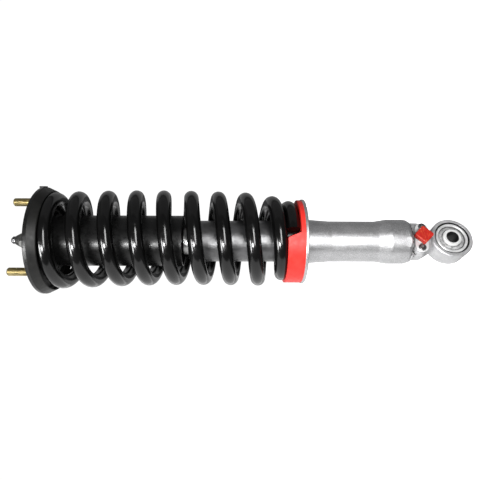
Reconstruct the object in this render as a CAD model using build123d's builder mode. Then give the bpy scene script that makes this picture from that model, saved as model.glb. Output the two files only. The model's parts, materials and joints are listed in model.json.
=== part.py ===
from build123d import *
import math
import os

# ---------------------------------------------------------------------------
# Preloaded adjustable coil-over strut, upright, millimetres.
# +Z runs from the lower eye to the top mount, the eye bore lies along Y, and
# the origin is the centre of the lower eye bore. -Y is the adjuster side.
# Outlines for turned parts are lists of (radius, height).
# ---------------------------------------------------------------------------

# Lower eye and its bonded bush
EYE_OUTER_R = 25.2
EYE_BORE_R = 20.6
EYE_LENGTH = 25.0
SLEEVE_LENGTH = 24.0
SLEEVE_BORE_R = 18.4
SLEEVE_LIP_R = 16.3
SLEEVE_END_R = 19.2
INNER_SLEEVE_R = 11.0
INNER_SLEEVE_LENGTH = 28.0
BOLT_HOLE_R = 7.3

# Foot casting and reserve tube
TUBE_R = 25.4
TUBE_BORE_R = 23.4
SWELL_R = 27.6
NECK_R = 25.2
SWELL_BOTTOM_Z = 57.5
SWELL_TOP_Z = 78.0
NECK_BOTTOM_Z = 93.3
NECK_TOP_Z = 149.5
TUBE_TOP_Z = 322.6
TUBE_LIP_R = 17.2
FOOT_R = 23.3
FOOT_SHOULDER_Z = 39.5
SPIGOT_TOP_Z = 66.0

# Damping adjuster on the -Y side of the foot
ADJ_Z = 37.4
ADJ_TILT_DEG = 8.0
ADJ_FACE_Y = -13.8
ADJ_FLAT_Y = -9.8
ADJ_LENGTH = 38.0
ADJ_WIDTH = 16.6
ADJ_SCREW_REACH = 14.0
KNOB_SIDE = 17.0
KNOB_DEPTH = 6.5
KNOB_BACK_Y = -16.2
SPINDLE_R = 4.0

# Spring seat and its stepped rubber isolator
SEAT_R = 52.2
SEAT_BOTTOM_Z = 181.6
SEAT_TOP_Z = 185.2
PAD_R = 51.3
PAD_THIN_Z = 190.1
PAD_THICK_Z = 205.2

# Coil spring, right-hand wound, wire end first, heights to the wire centre
WIRE_R = 8.75
PIGTAIL_R = 40.3
COIL_LOW_R = 48.8
COIL_TOP_R = 51.25
PIGTAIL_OPENS = (0.45, 1.7)
COIL_OPENS = (1.7, 7.8)
SPRING_TURNS = 9.35
WIRE_START_DEG = -98.0
WIRE_START_Z = 198.5
PITCH_STATIONS = ((0.0, 6.8), (1.4, 33.55), (6.4, 33.55), (7.0, 36.2), (8.65, 36.2), (9.35, 2.0))
FOOT_LEAN = 1.2
BOW = 3.3
BOW_DEG = -25.8

# Damper internals
ROD_R = 7.0
PRESSURE_BORE_R = 17.5
PRESSURE_R = 19.0
BYPASS_BORE_R = 20.4
BYPASS_R = 21.4
BASE_Z = 66.0
GUIDE_BOTTOM_Z = 304.0
PISTON_Z = 240.0
PISTON_HEIGHT = 16.0
STRIKER_R = 16.5
STRIKER_BOTTOM_Z = 322.6
STRIKER_TOP_Z = 330.2

# Top mount
PLATE_R = 66.0
PLATE_TOP_Z = 502.0
PLATE_SHEET = 3.0
RIM_BOTTOM_Z = 497.8
BAND_BOTTOM_Z = 488.4
STUD_R = 5.0
STUD_PCD = 97.8
STUD_TIP_Z = 533.3
STUD_ANGLES = (75.0, 195.0, 315.0)
TAB_DEG = -31.0
DOME_R = 35.0
DOME_TOP_Z = 515.8
ROD_SHOULDER_Z = 494.5
ROD_THREAD_R = 5.0
ROD_TIP_Z = 544.0
NUT_FLATS = 17.5
NUT_BOTTOM_Z = 524.5
NUT_TOP_Z = 537.8
DUST_R = 31.5
DUST_BORE_R = 29.5
DUST_BOTTOM_Z = 329.5
BUMP_BOTTOM_Z = 441.0


def turn(outline, mode=Mode.ADD):
    """Spin an (r, z) outline about the strut axis into the open part."""
    with BuildSketch(Plane.XZ) as section:
        with BuildLine():
            Polyline(*outline, close=True)
        make_face()
    revolve(section.sketch, axis=Axis.Z, mode=mode)


def ring(r_in, r_out, z_low, z_high, mode=Mode.ADD):
    """A plain ring about the strut axis."""
    turn([(r_in, z_low), (r_out, z_low), (r_out, z_high), (r_in, z_high)], mode)


def radial_plane(angle):
    """The upright half-plane through the strut axis at a row angle in degrees."""
    a = math.radians(angle)
    return Plane(origin=(0, 0, 0), x_dir=(math.cos(a), math.sin(a), 0), z_dir=(math.sin(a), -math.cos(a), 0))


def tangent_plane(angle, radius, z):
    """A plane facing outward from the strut axis, its x running round the strut."""
    a = math.radians(angle)
    out = (math.cos(a), math.sin(a), 0)
    return Plane(origin=(radius * out[0], radius * out[1], z), x_dir=(-out[1], out[0], 0), z_dir=out)


def spring_rise(turns):
    """Height gained by the wire centre, with the pitch running straight between its stations."""
    rise = 0
    for (turn_a, pitch_a), (turn_b, pitch_b) in zip(PITCH_STATIONS, PITCH_STATIONS[1:]):
        run = min(max(turns - turn_a, 0), turn_b - turn_a)
        rise += pitch_a * run + (pitch_b - pitch_a) * run * run / (2 * (turn_b - turn_a))
    return rise


def spring_radius(turns):
    """Wire-centre radius: a tight pigtail, then coils that open slowly towards the top."""
    part = min(max((turns - PIGTAIL_OPENS[0]) / (PIGTAIL_OPENS[1] - PIGTAIL_OPENS[0]), 0), 1)
    spread = min(max((turns - COIL_OPENS[0]) / (COIL_OPENS[1] - COIL_OPENS[0]), 0), 1)
    opened = (COIL_LOW_R - PIGTAIL_R) * part * part * (3 - 2 * part)
    return PIGTAIL_R + opened + (COIL_TOP_R - COIL_LOW_R) * spread


def spring_point(turns):
    """One point of the wire centre line, with the spring's slight lean and bow."""
    angle = math.radians(WIRE_START_DEG + 360 * turns)
    share = spring_rise(turns) / spring_rise(SPRING_TURNS)
    lean = FOOT_LEAN * (1 - share) + BOW * math.sin(math.pi * share)
    radius = spring_radius(turns)
    x = radius * math.cos(angle) + lean * math.cos(math.radians(BOW_DEG))
    y = radius * math.sin(angle) + lean * math.sin(math.radians(BOW_DEG))
    return (x, y, WIRE_START_Z + spring_rise(turns))


def save(builder, name):
    """Label a finished piece and write it out."""
    builder.part.label = name
    export_step(builder.part, "parts/" + name + ".step")


os.makedirs("parts", exist_ok=True)

# ---------------------------------------------------------------------------
# Foot casting: spigot, shoulder, tapered foot and lower eye in one casting
# ---------------------------------------------------------------------------
FOOT_SPIGOT_WALL = 4.0
FOOT_FLOOR_Z = 55.6
COLLAR_R = 25.4
COLLAR_TOP_Z = 53.0
TUBE_SEAT_R = 24.2
TUBE_SEAT_Z = 55.0
EYE_BEVEL = 1.1
FLAT_LOW_Z = 25.6
FLAT_TOP_Z = 52.4
VALVE_BORE_R = 5.2
VALVE_BORE_END_Y = 12.0
PORT_R = 2.2
SCREW_R = 2.5
SCREW_HOLE_DEPTH = 11.0
SCREW_OUT = ADJ_SCREW_REACH * math.cos(math.radians(ADJ_TILT_DEG))
SCREW_DROP = ADJ_SCREW_REACH * math.sin(math.radians(ADJ_TILT_DEG))
SCREW_SPOTS = ((-SCREW_OUT, ADJ_Z + SCREW_DROP), (SCREW_OUT, ADJ_Z - SCREW_DROP))

with BuildPart() as foot_casting:
    turn([
        (0, 22), (11.4, 22), (15.6, 26), (23.0, 38.2), (FOOT_R, FOOT_SHOULDER_Z),
        (FOOT_R, 48.6), (COLLAR_R, 50.8), (COLLAR_R, COLLAR_TOP_Z), (TUBE_SEAT_R, COLLAR_TOP_Z),
        (TUBE_SEAT_R, TUBE_SEAT_Z), (TUBE_BORE_R, TUBE_SEAT_Z),
        (TUBE_BORE_R, SPIGOT_TOP_Z), (TUBE_BORE_R - FOOT_SPIGOT_WALL, SPIGOT_TOP_Z),
        (TUBE_BORE_R - FOOT_SPIGOT_WALL, FOOT_FLOOR_Z), (0, FOOT_FLOOR_Z),
    ])
    with BuildSketch(Plane.XY):
        with BuildLine():
            Polyline(
                (0, -EYE_LENGTH / 2), (EYE_OUTER_R - EYE_BEVEL, -EYE_LENGTH / 2),
                (EYE_OUTER_R, EYE_BEVEL - EYE_LENGTH / 2), (EYE_OUTER_R, EYE_LENGTH / 2 - EYE_BEVEL),
                (EYE_OUTER_R - EYE_BEVEL, EYE_LENGTH / 2), (0, EYE_LENGTH / 2), close=True)
        make_face()
    revolve(axis=Axis.Y)
    with BuildSketch(Plane.XZ):
        Circle(EYE_BORE_R)
    extrude(amount=EYE_LENGTH, both=True, mode=Mode.SUBTRACT)
    rims = foot_casting.edges().filter_by(GeomType.CIRCLE).filter_by(
        lambda e: abs(abs(e.center().Y) - EYE_LENGTH / 2) < 0.01 and abs(e.radius - EYE_BORE_R) < 0.01)
    chamfer(rims, 0.5)
    # Flat for the adjuster flange, with its valve bore and two screw holes
    with Locations((0, ADJ_FLAT_Y - 20, (FLAT_LOW_Z + FLAT_TOP_Z) / 2)):
        Box(60, 40, FLAT_TOP_Z - FLAT_LOW_Z, mode=Mode.SUBTRACT)
    with BuildSketch(Plane.XZ.offset(-ADJ_FLAT_Y)):
        with Locations((0, ADJ_Z)):
            Circle(VALVE_BORE_R)
    extrude(amount=ADJ_FLAT_Y - VALVE_BORE_END_Y, mode=Mode.SUBTRACT)
    with BuildSketch(Plane.XZ.offset(-ADJ_FLAT_Y)):
        with Locations(*SCREW_SPOTS):
            Circle(SCREW_R)
    extrude(amount=-SCREW_HOLE_DEPTH, mode=Mode.SUBTRACT)
    # Oil ports up from the valve bore into the base chamber
    with BuildSketch(Plane.XY.offset(ADJ_Z)):
        with Locations((0, -4.0), (0, 7.5)):
            Circle(PORT_R)
    extrude(amount=FOOT_FLOOR_Z - ADJ_Z + 1, mode=Mode.SUBTRACT)
save(foot_casting, "foot_casting")

# Bonded eye bush: outer sleeve, rubber, inner sleeve
BOND_GAP = 0.05
LIP_START_Y = SLEEVE_LENGTH / 2 - 2.6
SHOULDER_Y = SLEEVE_LENGTH / 2 - 4.2
RUBBER_END_Y = SLEEVE_LENGTH / 2 - 1.4


def turn_about_bore(outline):
    """Spin an (r, y) outline, given for the +Y half and mirrored, about the eye's bore axis."""
    with BuildSketch(Plane.XY) as half:
        with BuildLine():
            Polyline(*outline, close=True)
        make_face()
        mirror(about=Plane.XZ)
    revolve(half.sketch, axis=Axis.Y)


with BuildPart() as eye_sleeve:
    turn_about_bore([
        (SLEEVE_BORE_R, 0), (EYE_BORE_R, 0), (EYE_BORE_R, SHOULDER_Y), (SLEEVE_END_R, SHOULDER_Y + 0.8),
        (SLEEVE_END_R, SLEEVE_LENGTH / 2 - 0.5), (SLEEVE_END_R - 0.5, SLEEVE_LENGTH / 2),
        (SLEEVE_LIP_R + 0.5, SLEEVE_LENGTH / 2), (SLEEVE_LIP_R, SLEEVE_LENGTH / 2 - 0.5),
        (SLEEVE_LIP_R, LIP_START_Y), (SLEEVE_BORE_R, SHOULDER_Y - 1.4),
    ])
save(eye_sleeve, "eye_outer_sleeve")

with BuildPart() as eye_rubber:
    turn_about_bore([
        (INNER_SLEEVE_R + BOND_GAP, 0), (SLEEVE_BORE_R, 0), (SLEEVE_BORE_R, SHOULDER_Y - 1.4),
        (SLEEVE_LIP_R, LIP_START_Y), (SLEEVE_LIP_R, RUBBER_END_Y - 0.6), (15.6, RUBBER_END_Y - 1.2),
        (14.4, RUBBER_END_Y - 0.9), (12.6, RUBBER_END_Y), (INNER_SLEEVE_R + 0.6, RUBBER_END_Y),
        (INNER_SLEEVE_R + BOND_GAP, RUBBER_END_Y - 0.6),
    ])
save(eye_rubber, "eye_rubber")

with BuildPart() as inner_sleeve:
    with BuildSketch(Plane.XZ):
        Circle(INNER_SLEEVE_R)
        Circle(BOLT_HOLE_R, mode=Mode.SUBTRACT)
    extrude(amount=INNER_SLEEVE_LENGTH / 2, both=True)
    sleeve_rims = inner_sleeve.edges().filter_by(GeomType.CIRCLE).filter_by(
        lambda e: abs(e.radius - INNER_SLEEVE_R) < 0.01)
    chamfer(sleeve_rims, 0.9)
save(inner_sleeve, "eye_inner_sleeve")

# ---------------------------------------------------------------------------
# Reserve tube: swollen foot end, waisted neck, taper under the seat, rolled top
# ---------------------------------------------------------------------------
TUBE_LIP_SHEET = 2.2
STAKE_Z = 58.6
STAKE_DEG = -115.8

with BuildPart() as body_tube:
    turn([
        (TUBE_SEAT_R, 53.2), (25.8, 53.6), (27.0, 55.0), (SWELL_R, SWELL_BOTTOM_Z), (SWELL_R, SWELL_TOP_Z),
        (27.0, 82.0), (25.7, 89.5), (NECK_R, NECK_BOTTOM_Z), (NECK_R, NECK_TOP_Z),
        (SWELL_R, SEAT_BOTTOM_Z), (TUBE_R, SEAT_BOTTOM_Z), (TUBE_R, TUBE_TOP_Z - 4.4),
        (24.6, TUBE_TOP_Z - 2.2), (23.0, TUBE_TOP_Z - 0.6), (21.0, TUBE_TOP_Z),
        (TUBE_LIP_R, TUBE_TOP_Z), (TUBE_LIP_R, TUBE_TOP_Z - TUBE_LIP_SHEET),
        (21.6, TUBE_TOP_Z - TUBE_LIP_SHEET), (TUBE_BORE_R, TUBE_TOP_Z - TUBE_LIP_SHEET - 1.8),
        (TUBE_BORE_R, TUBE_SEAT_Z), (TUBE_SEAT_R, TUBE_SEAT_Z),
    ])
    # Shallow oval staking mark on the swell, on the adjuster side
    with BuildSketch(tangent_plane(STAKE_DEG, SWELL_R - 1.0, STAKE_Z)):
        SlotOverall(12.5, 6.5)
    extrude(amount=3, mode=Mode.SUBTRACT)
save(body_tube, "reserve_tube")

# Lower spring seat: pressed flange on a short hub that slides over the tube
HUB_R = 28.4
HUB_TOP_Z = 190.0

with BuildPart() as spring_seat:
    turn([
        (TUBE_R, SEAT_BOTTOM_Z), (SEAT_R, SEAT_BOTTOM_Z), (SEAT_R, SEAT_TOP_Z),
        (HUB_R, SEAT_TOP_Z), (HUB_R, HUB_TOP_Z), (TUBE_R, HUB_TOP_Z),
    ])
    seat_rim = spring_seat.edges().filter_by(GeomType.CIRCLE).filter_by(
        lambda e: abs(e.radius - SEAT_R) < 0.01)
    fillet(seat_rim, 0.9)
save(spring_seat, "lower_spring_seat")

# Stepped rubber isolator, moulded to bed the first turn of the wire
PAD_BORE_R = 28.9
STEP_END_DEG = -92.0
STEP_SWEEP_DEG = 191.3
TAIL_SWEEP_DEG = 66.0
STEP_FACE_DEG = -115.8
STEP_TOE = 11.1
STEP_BROW = 4.6
STEP_CORNER_R = 3.0
PAD_MID_Z = 196.0
BED_TURNS = 1.05
BED_GAP = 0.05
BED_STEPS = 30

with BuildPart() as wire_bed:
    with BuildLine():
        bed_path = Spline([spring_point(BED_TURNS * i / BED_STEPS) for i in range(BED_STEPS + 1)])
    with BuildSketch(Plane(origin=bed_path @ 0, z_dir=bed_path % 0)):
        Circle(WIRE_R + BED_GAP)
    sweep(is_frenet=True)

with BuildPart() as isolator:
    ring(PAD_BORE_R, PAD_R, SEAT_TOP_Z, PAD_THIN_Z)
    for sweep_deg, end_deg, level in (
            (STEP_SWEEP_DEG, STEP_END_DEG, PAD_THICK_Z),
            (TAIL_SWEEP_DEG, STEP_END_DEG - STEP_SWEEP_DEG, PAD_MID_Z)):
        with BuildSketch(radial_plane(end_deg - sweep_deg)):
            with Locations(((PAD_BORE_R + PAD_R) / 2, (SEAT_TOP_Z + level) / 2)):
                Rectangle(PAD_R - PAD_BORE_R, level - SEAT_TOP_Z)
        revolve(axis=Axis.Z, revolution_arc=sweep_deg)
    # Sloping end of the thick step, behind which the wire end sits
    with BuildSketch(tangent_plane(STEP_FACE_DEG, PAD_BORE_R / 2, 0)):
        with BuildLine():
            Polyline(
                (STEP_TOE, PAD_THIN_Z), (2 * PAD_R, PAD_THIN_Z), (2 * PAD_R, PAD_THICK_Z + 1),
                (STEP_BROW, PAD_THICK_Z + 1), close=True)
        make_face()
    extrude(amount=PAD_R, mode=Mode.SUBTRACT)
    step_edge = isolator.edges().filter_by(GeomType.LINE).filter_by(
        lambda e: abs(e.center().Z - PAD_THICK_Z) < 0.01).sort_by(Axis.Y)[0]
    fillet(step_edge, STEP_CORNER_R)
    add(wire_bed.part, mode=Mode.SUBTRACT)
save(isolator, "lower_isolator")

# ---------------------------------------------------------------------------
# Coil spring
# ---------------------------------------------------------------------------
POINTS_PER_TURN = 12
point_count = int(round(SPRING_TURNS * POINTS_PER_TURN))

with BuildPart() as coil_spring:
    with BuildLine():
        wire_path = Spline([spring_point(SPRING_TURNS * i / point_count) for i in range(point_count + 1)])
    with BuildSketch(Plane(origin=wire_path @ 0, z_dir=wire_path % 0)):
        Circle(WIRE_R)
    sweep(is_frenet=True)
save(coil_spring, "coil_spring")

# ---------------------------------------------------------------------------
# Adjuster: flange, gasket, screws, spindle, O-ring, knob and detent
# ---------------------------------------------------------------------------
HEAD_R = 4.3
HEAD_HEIGHT = 3.1
HEAD_SEAT_Y = -12.4
SCREW_TIP_Y = 0.4
SOCKET_FLATS = 4.0
GASKET_SHEET = 0.6
SPINDLE_FIT = 0.05
SPINDLE_END_Y = 11.2
ORING_SECTION_R = 1.1
ORING_Y = -11.65
ORING_GROOVE_Y = -12.8
ORING_GROOVE_R = 6.3
DETENT_X = 7.5
DETENT_R = 1.2


def adjuster_outline(length, width):
    """Oval flange outline centred on the adjuster axis, in an X-Z sketch."""
    with Locations(Location((0, ADJ_Z, 0), (0, 0, -ADJ_TILT_DEG))):
        SlotOverall(length, width)


with BuildPart() as adj_gasket:
    with BuildSketch(Plane.XZ.offset(-ADJ_FLAT_Y)):
        adjuster_outline(ADJ_LENGTH - 1.6, ADJ_WIDTH - 1.6)
        with Locations((0, ADJ_Z)):
            Circle(VALVE_BORE_R + 0.6, mode=Mode.SUBTRACT)
        with Locations(*SCREW_SPOTS):
            Circle(SCREW_R + 0.3, mode=Mode.SUBTRACT)
    extrude(amount=GASKET_SHEET)
save(adj_gasket, "adjuster_gasket")

FLANGE_BACK_Y = ADJ_FLAT_Y - GASKET_SHEET

with BuildPart() as adj_flange:
    with BuildSketch(Plane.XZ.offset(-FLANGE_BACK_Y)):
        adjuster_outline(ADJ_LENGTH, ADJ_WIDTH)
    extrude(amount=FLANGE_BACK_Y - ADJ_FACE_Y)
    face_edge = adj_flange.faces().sort_by(Axis.Y)[0].edges()
    fillet(face_edge, 0.8)
    with BuildSketch(Plane.XZ.offset(-ADJ_FACE_Y)):
        with Locations((0, ADJ_Z)):
            Circle(8.0)
    extrude(amount=1.2)
    with BuildSketch(Plane.XZ.offset(20)):
        with Locations((0, ADJ_Z)):
            Circle(SPINDLE_R + SPINDLE_FIT)
    extrude(amount=-12, mode=Mode.SUBTRACT)
    with BuildSketch(Plane.XZ.offset(20)):
        with Locations(*SCREW_SPOTS):
            Circle(SCREW_R + 0.2)
    extrude(amount=-12, mode=Mode.SUBTRACT)
    with BuildSketch(Plane.XZ.offset(20)):
        with Locations(*SCREW_SPOTS):
            Circle(HEAD_R + 0.2)
    extrude(amount=-20 - HEAD_SEAT_Y, mode=Mode.SUBTRACT)
    with Locations((DETENT_X, ADJ_FACE_Y - 0.2, ADJ_Z)):
        Cylinder(DETENT_R + 0.05, 4.0, rotation=(90, 0, 0), mode=Mode.SUBTRACT)
    with BuildSketch(Plane.XZ.offset(-ORING_GROOVE_Y)):
        with Locations((0, ADJ_Z)):
            Circle(ORING_GROOVE_R)
    extrude(amount=ORING_GROOVE_Y - ADJ_FLAT_Y, mode=Mode.SUBTRACT)
save(adj_flange, "adjuster_flange")

with BuildPart() as adj_oring:
    with Locations((0, ORING_Y, ADJ_Z)):
        Torus(SPINDLE_R + ORING_SECTION_R + 0.07, ORING_SECTION_R, rotation=(90, 0, 0))
save(adj_oring, "adjuster_o_ring")

with BuildPart() as adj_screws:
    with BuildSketch(Plane.XZ.offset(-HEAD_SEAT_Y)):
        with Locations(*SCREW_SPOTS):
            Circle(HEAD_R)
    extrude(amount=HEAD_HEIGHT)
    head_rims = adj_screws.edges().filter_by(GeomType.CIRCLE).group_by(Axis.Y)[0]
    chamfer(head_rims, 0.4)
    with BuildSketch(Plane.XZ.offset(-HEAD_SEAT_Y)):
        with Locations(*SCREW_SPOTS):
            Circle(SCREW_R)
    extrude(amount=HEAD_SEAT_Y - SCREW_TIP_Y)
    with BuildSketch(Plane.XZ.offset(HEAD_HEIGHT - HEAD_SEAT_Y)):
        with Locations(*SCREW_SPOTS):
            RegularPolygon(SOCKET_FLATS / 2, 6, major_radius=False)
    extrude(amount=-2.2, mode=Mode.SUBTRACT)
save(adj_screws, "adjuster_screws")

SHAFT_END_Y = -21.0
SHAFT_R = 3.0
VALVE_END_Y = -10.3
CROSS_PORT_Y = -4.0
OIL_WAY_R = 2.4

with BuildPart() as spindle:
    with BuildSketch(Plane.XZ.offset(-VALVE_END_Y)):
        with Locations((0, ADJ_Z)):
            Circle(VALVE_BORE_R - SPINDLE_FIT)
    extrude(amount=VALVE_END_Y - SPINDLE_END_Y)
    with BuildSketch(Plane.XZ.offset(-VALVE_END_Y)):
        with Locations((0, ADJ_Z)):
            Circle(SPINDLE_R)
    extrude(amount=VALVE_END_Y - KNOB_BACK_Y)
    with BuildSketch(Plane.XZ.offset(-KNOB_BACK_Y)):
        with Locations((0, ADJ_Z)):
            Circle(SHAFT_R)
            with Locations((0, SHAFT_R)):
                Rectangle(2 * SHAFT_R, 1.4, mode=Mode.SUBTRACT)
    extrude(amount=KNOB_BACK_Y - SHAFT_END_Y)
    with BuildSketch(Plane.XZ.offset(-SPINDLE_END_Y)):
        with Locations((0, ADJ_Z)):
            Circle(OIL_WAY_R)
    extrude(amount=SPINDLE_END_Y - CROSS_PORT_Y, mode=Mode.SUBTRACT)
    with Locations((0, CROSS_PORT_Y, ADJ_Z), (0, 7.5, ADJ_Z)):
        Cylinder(2.0, 4 * SPINDLE_R, mode=Mode.SUBTRACT)
save(spindle, "adjuster_spindle")

KNOB_CORNER_R = 2.6
KNOB_RIB_R = 0.45
KNOB_RIBS_PER_SIDE = 5
KNOB_RIB_PITCH = 2.5
KNOB_FACE_GROOVES = 5
FACE_GROOVE_WIDTH = 0.8
FACE_GROOVE_DEPTH = 0.45

with BuildPart() as knob:
    with BuildSketch(Plane.XZ.offset(-KNOB_BACK_Y)):
        with Locations(Location((0, ADJ_Z, 0), (0, 0, 45))):
            RectangleRounded(KNOB_SIDE, KNOB_SIDE, KNOB_CORNER_R)
    extrude(amount=KNOB_DEPTH)
    fillet(knob.faces().sort_by(Axis.Y)[0].edges(), 1.0)
    # Grip grooves across the four sides
    rib_span = KNOB_RIB_PITCH * (KNOB_RIBS_PER_SIDE - 1) / 2
    for side in range(4):
        turned = Location((0, ADJ_Z, 0), (0, 0, 45 + 90 * side))
        with BuildSketch(Plane.XZ.offset(-KNOB_BACK_Y)):
            with Locations(turned):
                with Locations([(KNOB_SIDE / 2 + 0.1, KNOB_RIB_PITCH * i - rib_span)
                                for i in range(KNOB_RIBS_PER_SIDE)]):
                    Circle(KNOB_RIB_R + 0.25)
        extrude(amount=KNOB_DEPTH - 1.4, mode=Mode.SUBTRACT)
    # Shallow finger grooves across the front
    groove_span = KNOB_RIB_PITCH * (KNOB_FACE_GROOVES - 1) / 2
    with BuildSketch(Plane.XZ.offset(KNOB_DEPTH - KNOB_BACK_Y)):
        with Locations(Location((0, ADJ_Z, 0), (0, 0, 45))):
            with Locations([(KNOB_RIB_PITCH * i - groove_span, 0) for i in range(KNOB_FACE_GROOVES)]):
                SlotOverall(KNOB_SIDE - 4.0, FACE_GROOVE_WIDTH, rotation=90)
    extrude(amount=-FACE_GROOVE_DEPTH, mode=Mode.SUBTRACT)
    with BuildSketch(Plane.XZ.offset(-KNOB_BACK_Y)):
        with Locations((0, ADJ_Z)):
            Circle(SHAFT_R)
            with Locations((0, SHAFT_R)):
                Rectangle(2 * SHAFT_R, 1.4, mode=Mode.SUBTRACT)
    extrude(amount=KNOB_BACK_Y - SHAFT_END_Y, mode=Mode.SUBTRACT)
save(knob, "adjuster_knob")

with BuildPart() as detent:
    with BuildSketch(Plane.XZ.offset(12.2)):
        with Locations((DETENT_X, ADJ_Z)):
            Circle(DETENT_R)
    extrude(amount=3.7)
    fillet(detent.faces().sort_by(Axis.Y)[0].edges(), 0.8)
save(detent, "detent_plunger")

# ---------------------------------------------------------------------------
# Base valve at the bottom of the pressure tube
# ---------------------------------------------------------------------------
RECESS_R = TUBE_BORE_R - FOOT_SPIGOT_WALL
VALVE_LOW_Z = 60.0
VALVE_TOP_Z = 74.0
RIVET_R = 3.0
VALVE_PORTS = 8

with BuildPart() as base_valve:
    turn([
        (RIVET_R, VALVE_LOW_Z), (RECESS_R, VALVE_LOW_Z), (RECESS_R, BASE_Z),
        (PRESSURE_BORE_R, BASE_Z), (PRESSURE_BORE_R, VALVE_TOP_Z), (RIVET_R, VALVE_TOP_Z),
    ])
    with BuildSketch(Plane.XY.offset(VALVE_LOW_Z)):
        with PolarLocations(10.5, VALVE_PORTS):
            Circle(1.6)
    extrude(amount=VALVE_TOP_Z - VALVE_LOW_Z, mode=Mode.SUBTRACT)
save(base_valve, "base_valve_body")

with BuildPart() as base_shims:
    ring(RIVET_R, 14.0, VALVE_LOW_Z - 0.5, VALVE_LOW_Z)
    ring(RIVET_R, 11.0, VALVE_LOW_Z - 1.0, VALVE_LOW_Z - 0.5)
save(base_shims, "base_valve_shims")

with BuildPart() as base_plate:
    ring(RIVET_R, 13.5, VALVE_TOP_Z, VALVE_TOP_Z + 0.8)
save(base_plate, "base_check_plate")

with BuildPart() as base_rivet:
    turn([
        (0, 57.0), (5.0, 57.0), (5.5, 57.6), (5.5, VALVE_LOW_Z - 1.0), (RIVET_R, VALVE_LOW_Z - 1.0),
        (RIVET_R, VALVE_TOP_Z + 0.8), (5.5, VALVE_TOP_Z + 0.8), (5.5, 77.4), (4.6, 78.2), (0, 78.2),
    ])
save(base_rivet, "base_valve_rivet")

# ---------------------------------------------------------------------------
# Pressure tube, bypass tube, rod guide, seal and striker cap
# ---------------------------------------------------------------------------
GUIDE_SPIGOT_Z = 298.0
GUIDE_TOP_Z = 314.5
SEAL_POCKET_R = 12.5
SEAL_POCKET_Z = 310.0
BUSHING_R = 8.2
ROD_FIT = 0.05
BYPASS_LOW_Z = 68.0
BYPASS_TOP_Z = 262.0

with BuildPart() as pressure_tube:
    ring(PRESSURE_BORE_R, PRESSURE_R, BASE_Z, GUIDE_BOTTOM_Z)
    with BuildSketch(Plane.XZ):
        with Locations((0, BYPASS_TOP_Z - 8), (0, BYPASS_LOW_Z + 12)):
            Circle(2.0)
    extrude(amount=30, mode=Mode.SUBTRACT)
save(pressure_tube, "pressure_tube")

with BuildPart() as bypass_tube:
    turn([
        (PRESSURE_R, BYPASS_LOW_Z), (20.6, BYPASS_LOW_Z), (BYPASS_R, BYPASS_LOW_Z + 1.6),
        (BYPASS_R, BYPASS_TOP_Z - 1.6), (20.6, BYPASS_TOP_Z), (PRESSURE_R, BYPASS_TOP_Z),
        (PRESSURE_R, BYPASS_TOP_Z - 1.2), (BYPASS_BORE_R, BYPASS_TOP_Z - 2.4),
        (BYPASS_BORE_R, BYPASS_LOW_Z + 2.4), (PRESSURE_R, BYPASS_LOW_Z + 1.2),
    ])
save(bypass_tube, "bypass_tube")

with BuildPart() as rod_guide:
    turn([
        (BUSHING_R, GUIDE_SPIGOT_Z), (PRESSURE_BORE_R, GUIDE_SPIGOT_Z),
        (PRESSURE_BORE_R, GUIDE_BOTTOM_Z), (TUBE_BORE_R, GUIDE_BOTTOM_Z), (TUBE_BORE_R, GUIDE_TOP_Z),
        (SEAL_POCKET_R, GUIDE_TOP_Z), (SEAL_POCKET_R, SEAL_POCKET_Z), (BUSHING_R, SEAL_POCKET_Z),
    ])
    with BuildSketch(Plane.XY.offset(GUIDE_BOTTOM_Z)):
        with PolarLocations(21.2, 4):
            Circle(1.2)
    extrude(amount=GUIDE_TOP_Z - GUIDE_BOTTOM_Z, mode=Mode.SUBTRACT)
save(rod_guide, "rod_guide")

with BuildPart() as guide_bushing:
    ring(ROD_R + ROD_FIT, BUSHING_R, GUIDE_SPIGOT_Z + 0.5, SEAL_POCKET_Z)
save(guide_bushing, "rod_guide_bushing")

SEAL_TOP_Z = 319.4
SEAL_WEB_Z = 316.0

with BuildPart() as rod_seal:
    turn([
        (ROD_R + ROD_FIT, 311.6), (8.6, SEAL_POCKET_Z), (SEAL_POCKET_R, SEAL_POCKET_Z),
        (SEAL_POCKET_R, GUIDE_TOP_Z), (21.4, GUIDE_TOP_Z), (21.4, SEAL_WEB_Z), (11.4, SEAL_WEB_Z),
        (10.0, SEAL_TOP_Z), (ROD_R + ROD_FIT, SEAL_TOP_Z), (ROD_R + ROD_FIT, 318.2), (8.2, 316.6),
        (8.2, 313.2), (ROD_R + ROD_FIT, 312.4),
    ])
save(rod_seal, "rod_seal")

with BuildPart() as seal_washer:
    ring(11.6, 21.4, SEAL_WEB_Z, TUBE_TOP_Z - TUBE_LIP_SHEET)
save(seal_washer, "seal_washer")

with BuildPart() as striker_cap:
    turn([
        (ROD_R + 0.5, 320.5), (TUBE_LIP_R, 320.5), (TUBE_LIP_R, STRIKER_BOTTOM_Z),
        (STRIKER_R, STRIKER_BOTTOM_Z), (STRIKER_R, STRIKER_TOP_Z - 1.6),
        (STRIKER_R - 1.6, STRIKER_TOP_Z), (ROD_R + 0.5, STRIKER_TOP_Z),
    ])
save(striker_cap, "striker_cap")

# ---------------------------------------------------------------------------
# Piston rod and everything fixed to it
# ---------------------------------------------------------------------------
ROD_BOTTOM_Z = 228.0
PISTON_SPIGOT_R = 5.0
PISTON_TOP_Z = PISTON_Z + PISTON_HEIGHT
SHIM_STACK = 1.0
CLIP_Z = 284.6
CLIP_SHEET = 1.4
CLIP_GROOVE_R = 6.4
CLIP_R = 10.5

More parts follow.
